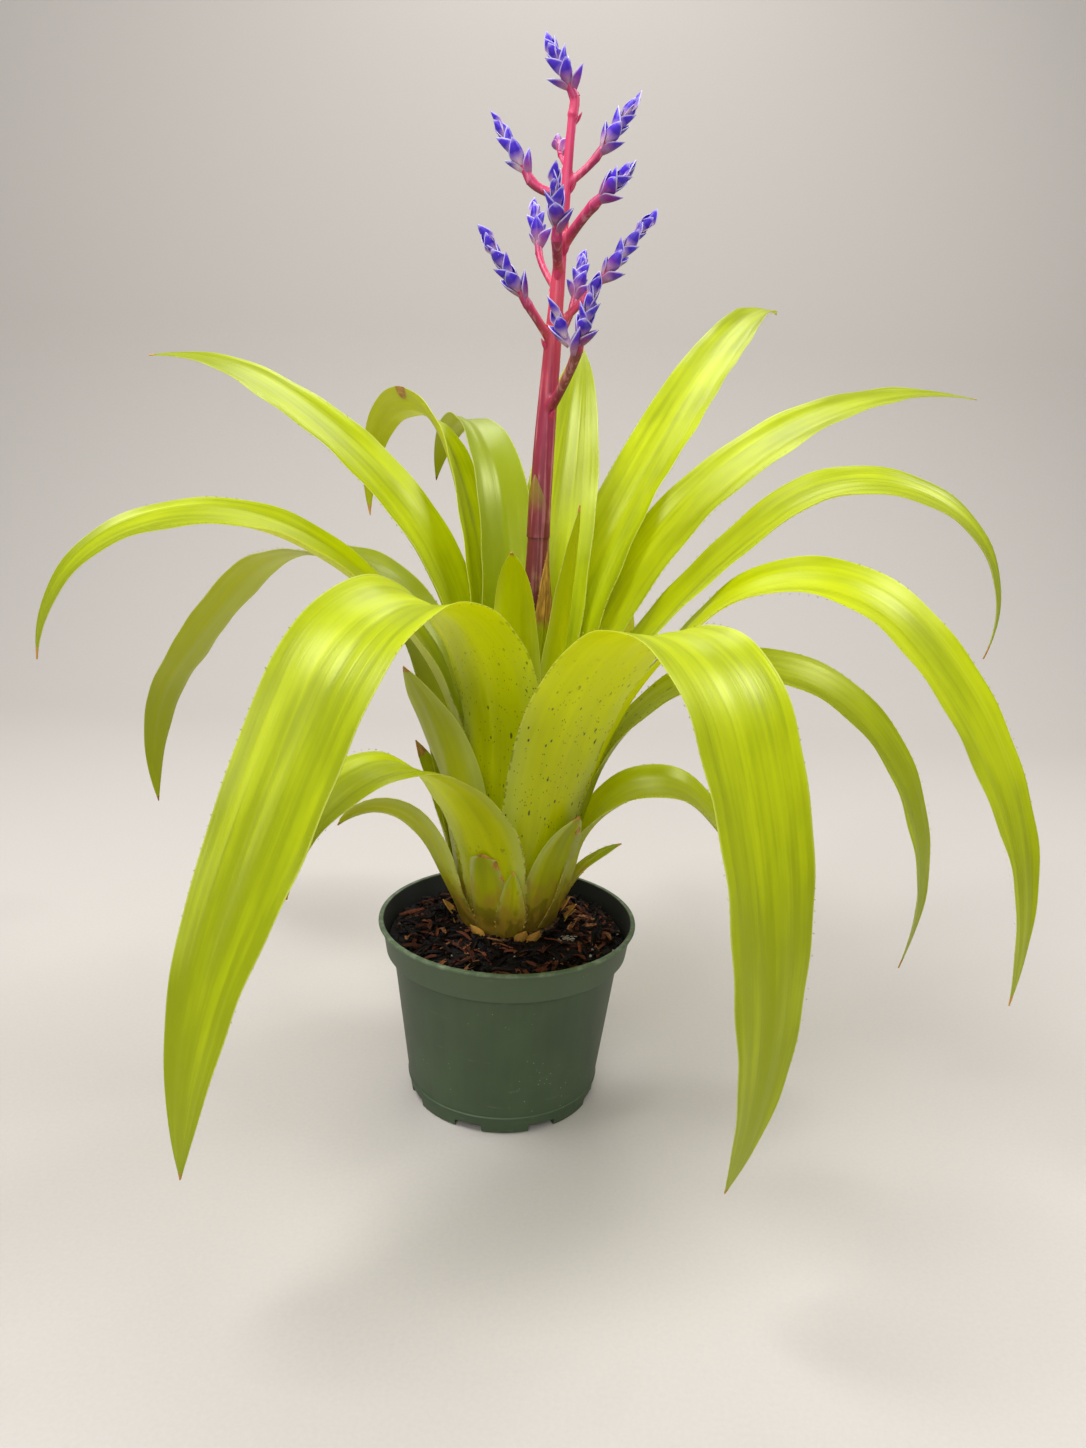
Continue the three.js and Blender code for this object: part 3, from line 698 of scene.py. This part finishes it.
def potPaint():
    paint = Paint("pot_plastic")
    c = colours(potFinish)
    place = paint.objectPlace()
    height = paint.part(place, 2)
    clouds = paint.noise(place, 22, 4)
    grain = paint.noise(place, 900, 2)
    streaks = paint.noise(place, (160, 160, 9), 3)
    # painted shadow: a thin dark line under the band's step
    bandShadow = paint.fade(height, 94.5 * mm, 98 * mm) * paint.fade(height, 99.6 * mm, 98.8 * mm)
    lip = paint.fade(height, 116.8 * mm, 119.2 * mm) * paint.fade(streaks, 0.42, 0.68)
    scuffs = paint.fade(paint.noise(place, (60, 60, 420), 4), 0.64, 0.74)
    level = paint.stretched(place, (1, 1, 0))
    radius = paint.node("ShaderNodeVectorMath", {"operation": "LENGTH"}, {0: level}, 1)
    # the inner wall above the mix, which is painted dark as painted shade
    inside = paint.fade(radius - height * 0.15, 61.8 * mm, 61.2 * mm)
    dots = paint.fade(paint.cells(place, 240), 0.11, 0.06) * paint.fade(clouds, 0.52, 0.6)
    colour = paint.coats(
        paint.mix(paint.fade(clouds + streaks * 0.3, 0.4, 0.9), c["deep"], c["green"]),
        (paint.fade(height, 98.5 * mm, 99.7 * mm) * 0.35, c["band"]),
        (bandShadow * 0.55, c["inside"]),  # painted shadow under the band
        (lip * 0.3, c["dust"]),
        (scuffs * 0.25, c["scuff"]),
        # painted shade on the inner wall above the mix
        (inside * paint.fade(height, 99.5 * mm, 100.3 * mm), c["inside"]),
        (dots * 0.5, c["dots"]),
    )
    return paint.surface(
        Base_Color=colour,
        Roughness=0.5 + clouds * 0.14 + scuffs * 0.15,
        Normal=paint.bump(grain * 0.5 + streaks * 0.3, 0.2, 0.15),
    )


clearSelection()
finishPiece(makePot(), potPaint(), "pot_plastic", "pot")
print("pot made")


# bark mix

bark = {
    "side": [(58.3, 3.0), (70.6, 99.8), (74.2, 102.0), (75.0, 107.5)],  # radius and height, up the pot's wall
    "middle": (3, 118),
    "wallRadius": 75.0,
    "crownRadius": 34.5,
    "heights": (109.0, 118.5),  # of the mix at the pot's wall and at the rosette
    "rough": (-1.4, 0.6),  # how far its top goes down and up
    "stripSize": (1.7, 9),
    "nuggetSize": (2.6, 5.2, 1.5),
    "seed": 11,
}
# How many pieces of each kind are strewn between two radii, how high they sit, how far they tilt, their
# sizes, and the share that is light.
barkStrewn = table("count radii sink tilt sizes light", {
    "strips": (460, (36, 67), (-0.8, 2.4), 0.24, (0.4, 1.0), 0.45),
    "nuggets": (120, (37, 70), (-1.8, 0.8), 0.3, (0.35, 0.9), 0.14),
    "crumbs": (640, (35, 73.5), (-0.6, 1.0), 1.0, (0.4, 1.2), 0.14),
    "collar": (213, (32.5, 37), (0.8, 2.2), 1.0, (0.4, 1.1), 0.14),  # crumbs round the rosette's foot
    "grains": (22, (40, 72), (0.0, 1.2), 1.0, (0.4, 1.0)),
})
tuft = {"grains": 26, "x": 38, "y": -27, "radius": 46}  # pale crumbs, at the rosette's front right
barkFinish = {"dark": "060302", "brown": "170b06", "red": "5c2e1a", "tan": "a0744c"}
grainFinish = {"pits": "5c5444", "pale": "a8a294"}


def barkPaint():
    paint = Paint("bark")
    c = colours(barkFinish)
    place = paint.objectPlace()
    tint = paint.attribute("tint")
    fibres = paint.noise(place, (700, 700, 260), 4)
    clouds = paint.noise(place, 120, 3)
    stops = [(0.2, c["dark"]), (0.55, c["brown"]), (0.85, c["red"]), (1.0, c["tan"])]
    colour = paint.ramp(tint * 0.75 + fibres * 0.35 + clouds * 0.12 - 0.1, stops)
    return paint.surface(
        Base_Color=colour,
        Roughness=0.8 - fibres * 0.35,
        Normal=paint.bump(fibres + clouds, 0.8, 0.6),
        Specular_IOR_Level=0.12,
    )


def grainPaint():
    paint = Paint("perlite")
    c = colours(grainFinish)
    pits = paint.noise(paint.objectPlace(), 1400, 3)
    return paint.surface(
        Base_Color=paint.mix(pits, c["pits"], c["pale"]),
        Roughness=0.8 + pits * 0.1,
        Normal=paint.bump(pits, 0.7, 0.4),
    )


def moundAt(radius):  # height of the mix
    low, high = bark["heights"]
    share = (bark["wallRadius"] - radius) / (bark["wallRadius"] - bark["crownRadius"])
    return low + (high - low) * ease(share)


def makeBed():  # the body of the mix, roughened on top
    top = [(radius, moundAt(radius)) for radius in range(72, 10, -3)]
    bed = drawnUp("bark_bed", [*bark["side"], *top, bark["middle"]], 96)
    draw = random.Random(bark["seed"])
    for vertex in bed.data.vertices:
        radius = math.hypot(vertex.co.x, vertex.co.y) / mm
        if vertex.co.z > 106 * mm and radius < bark["wallRadius"] - 0.5:
            vertex.co.z += draw.uniform(*bark["rough"]) * mm
    fillAttribute(bed, "tint", 0.04)
    return bed


def makeStrip():  # a thin curled strip of bark
    strip = addGrid("bark_strip", 2, 6)
    width, length = bark["stripSize"]
    for vertex in strip.data.vertices:
        x, y = vertex.co.x, vertex.co.y
        taper = 1 - 0.55 * abs(y) ** 2
        curl = abs(x) * 0.7 + 0.9 * math.sin(y * 2.2) - 1.3 * y * y
        vertex.co = Vector((x * width * taper, y * length, curl)) * mm
    modify(strip, "SOLIDIFY", thickness=0.8 * mm, offset=0)
    return strip


def makeNugget():  # a split chunk of bark
    bpy.ops.mesh.primitive_cube_add(size=2)
    nugget = named("bark_nugget")
    bpy.ops.object.mode_set(mode="EDIT")
    bpy.ops.mesh.subdivide(number_cuts=1, smoothness=0.3)
    bpy.ops.object.mode_set(mode="OBJECT")
    draw = random.Random(5)
    for vertex in nugget.data.vertices:
        jog = Vector([draw.uniform(-0.28, 0.28) for _ in range(3)])
        vertex.co = (vertex.co + jog) * Vector(bark["nuggetSize"]) * mm
    return nugget


def makeCrumb(name, size):
    bpy.ops.mesh.primitive_ico_sphere_add(subdivisions=1, radius=size * mm)
    crumb = named(name)
    draw = random.Random(9)
    for vertex in crumb.data.vertices:
        vertex.co *= draw.uniform(0.6, 1.15)
    return crumb


def strewn(draw, kind):  # places on the mix, as far apart in the middle as at the wall
    inner, outer = kind["radii"]
    places = []
    for _ in range(kind["count"]):
        radius = math.sqrt(draw.uniform(inner ** 2, outer ** 2))
        around = draw.uniform(0, 2 * math.pi)
        height = moundAt(radius) + draw.uniform(*kind["sink"])
        spot = Vector((math.cos(around) * radius, math.sin(around) * radius, height)) * mm
        turn = Matrix.Rotation(draw.uniform(0, 2 * math.pi), 4, "Z")
        for axis in ("X", "Y"):
            turn = turn @ Matrix.Rotation(draw.gauss(0, kind["tilt"]), 4, axis)
        places.append(Matrix.Translation(spot) @ turn @ Matrix.Scale(draw.uniform(*kind["sizes"]), 4))
    return places


def makeBarkPieces():
    draw = random.Random(bark["seed"])
    clearSelection()
    strip, nugget, crumb = makeStrip(), makeNugget(), makeCrumb("bark_crumb", 1.5)
    models = {"strips": strip, "nuggets": nugget, "crumbs": crumb, "collar": crumb}
    strewnPlaces = {name: strewn(draw, barkStrewn[name]) for name in models}
    parts = []
    for name, places in strewnPlaces.items():
        light = barkStrewn[name]["light"]
        tints = [draw.uniform(0.0, 0.4) if draw.random() > light else draw.uniform(0.5, 1.05) for _ in places]
        parts += copies(models[name], places, tint=tints)
    for model in (strip, nugget, crumb):
        bpy.data.objects.remove(model)
    pieces = joinAll("bark_pieces", parts)
    soften(pieces, 30)
    return pieces


def makeGrains():
    draw = random.Random(bark["seed"] + 1)
    clearSelection()
    model = makeCrumb("perlite_grain", 1.3)
    places = strewn(draw, barkStrewn["grains"])
    for _ in range(tuft["grains"]):
        x, y = draw.gauss(tuft["x"], 3.2), draw.gauss(tuft["y"], 1.8)
        spot = Vector((x, y, moundAt(tuft["radius"]) + draw.uniform(0.8, 2.6))) * mm
        places.append(Matrix.Translation(spot) @ Matrix.Diagonal((draw.uniform(0.4, 1.4), 0.4, 0.3, 1)))
    grains = joinAll("perlite_grains", copies(model, places))
    bpy.data.objects.remove(model)
    return grains


barkMaterial = barkPaint()
clearSelection()
finishPiece(makeBed(), barkMaterial, "bark", "bark_mix")
finishPiece(makeBarkPieces(), barkMaterial, "bark")
finishPiece(makeGrains(), grainPaint(), "bark")
print("bark mix made")


# crown

crownFinish = {"dark": "1e120b", "brown": "4a3018", "tan": "8d6a3c"}


def crownPaint():
    paint = Paint("crown_tissue")
    c = colours(crownFinish)
    fibres = paint.noise(paint.objectPlace(), (420, 420, 60), 4)
    colour = paint.ramp(fibres, [(0.3, c["dark"]), (0.55, c["brown"]), (0.75, c["tan"])])
    return paint.surface(Base_Color=colour, Roughness=0.85, Normal=paint.bump(fibres, 0.7, 0.8))


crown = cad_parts["crown"]
crown.data.materials.clear()
crown.data.materials.append(crownPaint())
print("crown finished")


# flower spike

stemShape = {
    "path": [  # height, sideways place and radius
        (119.8, 1.5, 6.6), (185, 3.6, 6.8), (250, 6, 6.9), (345, 10, 6.7), (412, 11.5, 6.2), (467, 14, 5.1),
        (500, 15.5, 4.1), (530, 17, 3.2), (565, 18.5, 2.7), (592, 20, 2.4),
    ],
    "voxel": 0.75,
    "twigSwell": [1.1, 0.95, 0.9, 0.9, 0.95, 1.05],
    "sheaths": [(362, 236, 36), (318, 62, 48), (268, 262, 52)],  # height, side and length of clasping scales
    "sheathTurn": 1.9,  # how far round each side a scale reaches, in radians
}
# from is the height at which the twig leaves the stem, base and tip are the ends of the head of bracts, stem
# is the twig's radius, a high tint is more magenta, and lean is how far the lowest bracts stand off.
spikeSet = table("from base tip bracts stem tint lean", {
    "spikelet_01": (586, (20, 0, 596), (4, -1, 625), 11, 3.0, 0.2, 40),
    "spikelet_02": (546, (-2, 4, 555), (-25, 10, 590), 10, 3.0, 0.1, 30),
    "spikelet_03": (552, (34, 0, 567), (56, 0, 599), 10, 2.5, 0.2, 30),
    "spikelet_04": (520, (34, -14, 541), (54, -25, 560), 10, 3.3, 0.35, 30),
    "spikelet_05": (507, (14, -17, 523), (12, -35, 556), 11, 3.3, 0.25, 30),
    "spikelet_06": (498, (4, 20, 521), (0, 36, 552), 11, 2.3, 0.2, 30),
    "spikelet_07": (470, (-1, -9, 490), (-28, -18, 527), 13, 2.9, 0.05, 30),
    "spikelet_08": (478, (38, 12, 504), (70, 22, 546), 13, 2.6, 0.1, 30),
    "spikelet_09": (466, (25, 21, 494), (31, 40, 526), 11, 2.4, 0.25, 30),
    "spikelet_10": (432, (28, -28, 466), (37, -46, 503), 12, 3.2, 0.15, 30),
    "spikelet_11": (560, (14, 13, 570), (12, 33, 585), 3, 1.5, 0.9, 30),
})
sideShoots = {"spikelet_10": [{"base": (26, -31, 461), "tip": (11, -42, 490), "bracts": 5}]}
bractShape = {
    "length": 16.0,
    "width": 13.5,
    "curl": 1.75,  # half-angle that a bract wraps round, in radians
    "thickness": 0.35,
    "twist": 139,  # from one bract to the next
}
twigScaleShape = {"length": 7, "width": 4.5, "curl": 1.0, "thickness": 0.5}
stemFinish = {
    "root": "46241a",
    "low": "6e2026",
    "mid": "8e2440",
    "high": "be3c4c",
    "top": "d03a66",
    "twig": "c0205c",
    "twigEnd": "7c2058",
    # the twigs' darker underside: partly their own colour, partly painted shade
    "under": "641838",
    "olive": "84701c",
    "bloom": "f0a8b0",
    "glow": "e04a70",
}
bractFinish = {
    "base": "ecd0d8",
    "pale": "9a74cc",
    "blue": "3e1cc0",
    "violet": "5630dc",
    "tip": "cfc4f6",
    "edge": "eae2fa",
    "magenta": "8c1e78",
    "glow": "6a3cf0",
}


def stemPaint():
    paint = Paint("flower_stalk")
    c = colours(stemFinish)
    place = paint.objectPlace()
    height = paint.part(place, 2)
    clouds = paint.noise(place, 60, 4)
    lines = paint.noise(place, (520, 520, 12), 2)
    share = (height - 0.2) * 2.5 + (clouds - 0.5) * 0.12 + (lines - 0.5) * 0.2  # 0 at 200 mm, 1 at 600 mm
    stops = [(0.18, "root"), (0.42, "low"), (0.56, "mid"), (0.7, "high"), (0.86, "top")]
    twig, sheath, under = [paint.attribute(name) for name in ("twig", "sheath", "under")]
    green = paint.fade(clouds + lines * 0.3, 0.72, 0.9) * paint.fade(height, 0.42, 0.3)
    green = paint.fade(sheath + clouds * 0.5, 0.62, 0.95) + green
    colour = paint.coats(
        paint.ramp(share, [(stop, c[key]) for stop, key in stops]),
        (paint.fade(twig, 0.1, 0.7) * 0.8, c["twig"]),
        (paint.fade(twig + clouds * 0.4, 0.95, 1.4) * 0.6, c["twigEnd"]),
        (green * 0.8, c["olive"]),
        # painted shade on the twigs' undersides, over some darker colour of their own
        (under * paint.fade(twig, 0.0, 0.4) * 0.75, c["under"]),
        (paint.fade(lines + clouds * 0.3, 0.66, 0.9) * 0.3, c["bloom"]),
    )
    return paint.surface(
        glow=c["glow"],
        glowShare=0.05,
        Base_Color=colour,
        Roughness=0.38 + clouds * 0.16,
        Normal=paint.bump(lines + clouds * 0.5, 0.35, 0.3),
    )


def bractPaint():
    paint = Paint("flower_bract")
    c = colours(bractFinish)
    lift, edge, tint = [paint.attribute(name) for name in ("lift", "edge", "tint")]
    clouds = paint.noise(paint.objectPlace(), 160, 3)
    stops = [(0.16, "base"), (0.4, "pale"), (0.56, "blue"), (0.82, "violet"), (0.99, "tip")]
    blush = paint.fade(tint + (clouds - 0.5) * 0.5 - lift * 0.55, 0.2, 0.75)
    rim = paint.fade(edge + lift * 0.35 + clouds * 0.2, 1.08, 1.32)  # pale margins towards the tip
    colour = paint.coats(
        paint.ramp(lift + (clouds - 0.5) * 0.2, [(stop, c[key]) for stop, key in stops]),
        (blush * 0.85, c["magenta"]),
        (rim * 0.8, c["edge"]),
    )
    return paint.surface(
        glow=c["glow"],
        glowShare=0.18,
        Base_Color=colour,
        Roughness=0.34 + clouds * 0.14,
        Normal=paint.bump(clouds, 0.3, 0.3),
    )


def tube(name, points, radii, segments):  # a curve with a thickness at each point, made a mesh
    clearSelection()
    bpy.ops.curve.primitive_bezier_curve_add()
    curve = named(name)
    spline = curve.data.splines[0]
    spline.bezier_points.add(len(points) - 2)
    for stop, place, radius in zip(spline.bezier_points, points, radii):
        stop.co, stop.radius = Vector(place) * mm, radius
        stop.handle_left_type = stop.handle_right_type = "AUTO"
    curve.data.bevel_depth = mm
    curve.data.bevel_resolution = segments
    curve.data.resolution_u = 10
    curve.data.use_fill_caps = True
    bpy.ops.object.convert(target="MESH")
    made = named(name)
    settle(made)
    return made


def stemAt(height):
    path = stemShape["path"]
    high = next(i for i in range(1, len(path)) if path[i][0] >= height)
    low, top = path[high - 1], path[high]
    share = (height - low[0]) / (top[0] - low[0])
    return Vector((low[1] + (top[1] - low[1]) * share, 0, height)), low[2] + (top[2] - low[2]) * share


def twigPoints(spike):
    start, end = stemAt(spike["from"])[0], Vector(spike["base"])
    along = (Vector(spike["tip"]) - end).normalized()
    bow = end - along * 0.32 * (start - end).length
    last = len(stemShape["twigSwell"]) - 1
    shares = [i / last for i in range(last + 1)]
    return [start * (1 - t) ** 2 + bow * 2 * t * (1 - t) + end * t * t for t in shares]


def makeStem():
    path = stemShape["path"]
    parts = [tube("stem_bar", [(x, 0, z) for z, x, r in path], [r for z, x, r in path], 8)]
    for spike in spikeSet.values():
        radii = [spike["stem"] * swell for swell in stemShape["twigSwell"]]
        parts.append(tube("twig", twigPoints(spike), radii, 5))
    stem = joinAll("flower_stalk", parts)
    modify(stem, "REMESH", mode="VOXEL", voxel_size=stemShape["voxel"] * mm)
    modify(stem, "SMOOTH", factor=0.6, iterations=8)
    layers = {"twig": [], "under": [], "sheath": []}
    for vertex in stem.data.vertices:
        x, y, z = (value / mm for value in vertex.co)
        spot, radius = stemAt(min(max(z, path[0][0]), path[-1][0]))
        away = math.hypot(x - spot.x, y) - radius
        layers["twig"].append(min(max(away / 22, 0), 1))
        # darker where the surface faces down: partly the twigs' own colour, partly painted shade
        layers["under"].append(min(max(0.3 - vertex.normal.z, 0.0), 1.0))
        layers["sheath"].append(ease(-y / 9 - 0.8) * ease(24 - z / 20) * 0.55)  # green on the lowest twig
    for name, values in layers.items():
        fillAttribute(stem, name, values)
    soften(stem, 60)
    return stem


def makeBract(name, shape):  # a boat-shaped scale along Y, facing +Z
    length, width, curl = shape["length"], shape["width"], shape["curl"]
    bract = addGrid(name, 6, 10)
    lift, edge = [], []
    for vertex in bract.data.vertices:
        q, s = vertex.co.x, (vertex.co.y + 1) / 2
        swell = min(1.0, ((s + 0.22) / 0.6) ** 0.7)
        half = width / 2 * swell * max(0.03, 1 - max(0, (s - 0.36) / 0.64) ** 1.7)
        wrap = curl * (1.1 - 0.45 * s)
        bend = half / wrap
        keel = 0.35 * math.exp(-(q / 0.22) ** 2) * math.sin(math.pi * min(s * 1.1, 1))
        x, z = math.sin(q * wrap) * bend, (math.cos(q * wrap) - 1) * bend + keel
        vertex.co = Vector((x, s * length, z - 0.11 * length * s * s + 0.1 * length * s)) * mm
        lift.append(s)
        edge.append(abs(q))
    for label, values in {"lift": lift, "edge": edge, "tint": 0.0}.items():
        fillAttribute(bract, label, values)
    modify(bract, "SOLIDIFY", thickness=shape["thickness"] * mm, offset=0)
    soften(bract, 60)
    return bract


def spikeletBracts(spike, model, draw):
    start, end = Vector(spike["base"]), Vector(spike["tip"])
    along = (end - start).normalized()
    side = Vector((along.z, 0, -along.x)).normalized()
    front = along.cross(side)
    run = (end - start).length - bractShape["length"] * 0.82
    places, tints = [], []
    for i in range(spike["bracts"]):
        share = i / (spike["bracts"] - 1)
        around = math.radians(bractShape["twist"] * i + draw.uniform(-16, 16))
        outward = side * math.cos(around) + front * math.sin(around)
        lean = math.radians(spike["lean"] * (1 - share) ** 0.7 + draw.uniform(-4, 4) * (1 - share))
        course = along * math.cos(lean) + outward * math.sin(lean)
        spot = start + along * (0.8 + run * share) + outward * (1.2 - 0.7 * share)
        across = course.cross(outward).normalized()
        size = (1 - 0.2 * share) * draw.uniform(0.92, 1.04)
        places.append(axes(across, course, across.cross(course), spot * mm, size))
        tints.append(spike["tint"] + 0.65 * (1 - share) ** 2 + draw.uniform(-0.1, 0.1))
    return copies(model, places, tint=tints)


def makeSpikelet(name, spike, number, model, rachisMaterial, bractMaterial):
    draw = random.Random(40 + number)
    shoots = [spike] + [{**spike, **shoot} for shoot in sideShoots.get(name, [])]
    start, end = Vector(spike["base"]), Vector(spike["tip"])
    along = (end - start).normalized()
    stops = [start + along * d for d in (-1.5, 8, (end - start).length - 9)]
    rachis = tube(name + "_rachis", stops, [spike["stem"], 1.9, 1.0], 3)
    for label in ("lift", "edge", "tint"):
        fillAttribute(rachis, label, 0.0)
    fillAttribute(rachis, "twig", 1.0)
    rachis.data.materials.append(rachisMaterial)
    made = [one for shoot in shoots for one in spikeletBracts(shoot, model, draw)]
    for one in made:
        one.data.materials.append(bractMaterial)
    return joinAll(name + "_bracts", [rachis, *made])


def makeSheath(height, facing, length):  # a pointed scale that clasps the stem
    sheath = addGrid("stem_sheath", 16, 14)
    shares = []
    for vertex in sheath.data.vertices:
        q, s = vertex.co.x, (vertex.co.y + 1) / 2
        spot, radius = stemAt(height + s * length)
        around = math.radians(facing) + q * stemShape["sheathTurn"] * max(0.02, (1 - s ** 1.3) ** 0.9)
        radius += 0.3 + 0.5 * s * s
        vertex.co = (spot + Vector((math.cos(around), math.sin(around), 0)) * radius) * mm
        shares.append(s)
    fillAttribute(sheath, "sheath", shares)
    fillAttribute(sheath, "twig", 0.0)
    modify(sheath, "SOLIDIFY", thickness=0.5 * mm, offset=0)
    soften(sheath, 60)
    return sheath


def makeStemScales(model):
    places = []
    for spike in spikeSet.values():
        points = twigPoints(spike)
        outward = (points[1] - points[0]) * Vector((1, 1, 0))
        outward.normalize()
        spot, radius = stemAt(spike["from"] - 4)
        up = (Vector((0, 0, 1)) + outward * 0.5).normalized()
        across = up.cross(outward)
        places.append(axes(across, up, across.cross(up), (spot + outward * radius * 0.9) * mm))
    sheaths = [makeSheath(*values) for values in stemShape["sheaths"]]
    return joinAll("stem_scales", [*sheaths, *copies(model, places)])


stemMaterial, bractMaterial = stemPaint(), bractPaint()
finishPiece(makeStem(), stemMaterial, "flower_stalk", "flower_stem")
bractModel = makeBract("bract", bractShape)
scaleModel = makeBract("scale", twigScaleShape)
fillAttribute(scaleModel, "twig", 0.6)
finishPiece(makeStemScales(scaleModel), stemMaterial, "flower_stalk")
for number, (name, spike) in enumerate(spikeSet.items()):
    spikelet = makeSpikelet(name, spike, number, bractModel, stemMaterial, bractMaterial)
    finishPiece(spikelet, None, "flower_bract", name)
for model in (bractModel, scaleModel):
    bpy.data.objects.remove(model)
print("flower spike made")


# dry bits of old leaf at the foot of the rosette

footScales = {
    "length": 17,
    "width": 11,
    "curl": 0.9,
    "thickness": 0.5,
    "height": 115.5,
    "front": [  # side, radius, size and tint, where a low tint is dark
        (263, 36.0, 0.7, -0.5), (283, 34.5, 0.9, 0.0), (293, 37.5, 0.8, -0.1), (302, 35.0, 0.7, 0.05),
        (246, 33.5, 0.8, 0.0),
    ],
    "others": 11,
    "othersRange": [(310, 600), (33, 36), (0.5, 0.9), (-0.4, 0.1)],  # the same four values
    "seed": 21,
}


def makeFootScales():
    model = makeBract("foot_scale", footScales)
    for name, value in {"speck": 0.0, "outer": 0.0, "dry": 1.0}.items():
        fillAttribute(model, name, value)
    draw = random.Random(footScales["seed"])
    spans = [footScales["othersRange"]] * footScales["others"]
    spots = footScales["front"] + [[draw.uniform(*span) for span in four] for four in spans]
    places = []
    for facing, radius, size, tint in spots:
        around, lean = math.radians(facing), math.radians(draw.uniform(12, 48))
        outward = Vector((math.cos(around), math.sin(around), 0))
        along = Vector((0, 0, math.cos(lean))) + outward * math.sin(lean)
        along += Vector((draw.gauss(0, 0.2), draw.gauss(0, 0.2), 0))
        across = along.cross(outward)
        foot = outward * radius + Vector((0, 0, footScales["height"]))
        places.append(axes(across, along, across.cross(along), foot * mm, size))
    scales = joinAll("foot_scales", copies(model, places, tint=[spot[3] for spot in spots]))
    bpy.data.objects.remove(model)
    return scales


finishPiece(makeFootScales(), leafMaterial, "leaf_blade")
print("foot scales made")
